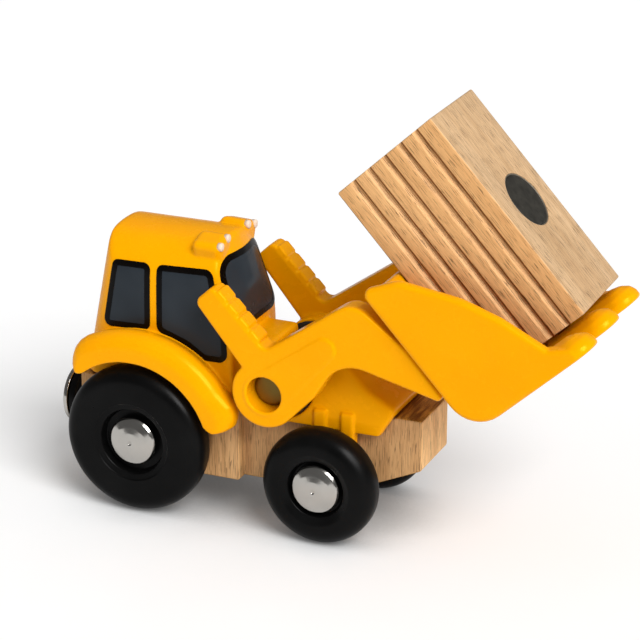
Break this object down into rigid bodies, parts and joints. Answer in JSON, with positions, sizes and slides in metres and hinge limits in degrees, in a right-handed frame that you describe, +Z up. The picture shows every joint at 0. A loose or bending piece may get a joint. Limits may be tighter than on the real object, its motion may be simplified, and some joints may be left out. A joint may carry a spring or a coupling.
{
  "type": "toy wheel loader",
  "caption": "Wooden toy wheel loader: beech chassis on rolling wheels, moulded cab, hand-lifted arms with a bucket, and a loose grooved wooden block as its load.",
  "frame": {"origin": "on the ground under the middle of the toy's overall length and width", "axes": "+X forwards to the bucket, +Y to the vehicle's left, +Z up"},
  "size_m": [0.1188, 0.0376, 0.0884],
  "materials": {
    "yellow_plastic": "satin gloss moulding",
    "beech": "fine-sanded, clear matt lacquer",
    "black_plastic": "satin gloss",
    "black_rubber": "matt",
    "nickel": "bright plated",
    "steel": "bright drawn",
    "dark_disc": "dark satin paint"
  },
  "bodies": {
    "chassis_body": {"chassis": "beech", "cab_body": "yellow_plastic", "nose_cover": "yellow_plastic", "body_screw_rear": "steel", "body_screw_front": "steel", "nose_screw": "steel", "rear_axle": "steel", "front_axle": "steel", "cap_rear_right": "nickel", "cap_rear_left": "nickel", "cap_front_right": "nickel", "cap_front_left": "nickel", "coupling_housing": "black_plastic", "coupling_magnet": "nickel", "coupling_screw": "steel", "friction_washer_right": "black_rubber", "friction_washer_left": "black_rubber"},
    "loader": {"loader_arm_right": "yellow_plastic", "loader_arm_left": "yellow_plastic", "bucket": "yellow_plastic", "pivot_pin": "steel"},
    "cargo": {"cargo_block": "beech", "cargo_disc": "dark_disc"},
    "wheel_rear_right_body": {"wheel_rear_right": "black_plastic"},
    "wheel_rear_left_body": {"wheel_rear_left": "black_plastic"},
    "wheel_front_right_body": {"wheel_front_right": "black_plastic"},
    "wheel_front_left_body": {"wheel_front_left": "black_plastic"}
  },
  "joints": [
    {"name": "loader_lift", "type": "hinge", "parent": "chassis_body", "child": "loader", "pos_m": [-0.00747, 0, 0.0308], "axis": [0, -1, 0], "range_deg": [-42, 25]},
    {"name": "cargo_slide", "type": "slide", "parent": "loader", "child": "cargo", "axis": [-0.6743, 0, 0.7385], "range_m": [0, 0.05]},
    {"name": "wheel_rear_right_spin", "type": "hinge", "parent": "chassis_body", "child": "wheel_rear_right_body", "pos_m": [-0.03707, -0.0145, 0.0158], "axis": [0, 1, 0], "continuous": true},
    {"name": "wheel_rear_left_spin", "type": "hinge", "parent": "chassis_body", "child": "wheel_rear_left_body", "pos_m": [-0.03707, 0.0145, 0.0158], "axis": [0, 1, 0], "continuous": true},
    {"name": "wheel_front_right_spin", "type": "hinge", "parent": "chassis_body", "child": "wheel_front_right_body", "pos_m": [0.00363, -0.0145, 0.0122], "axis": [0, 1, 0], "continuous": true},
    {"name": "wheel_front_left_spin", "type": "hinge", "parent": "chassis_body", "child": "wheel_front_left_body", "pos_m": [0.00363, 0.0145, 0.0122], "axis": [0, 1, 0], "continuous": true}
  ]
}
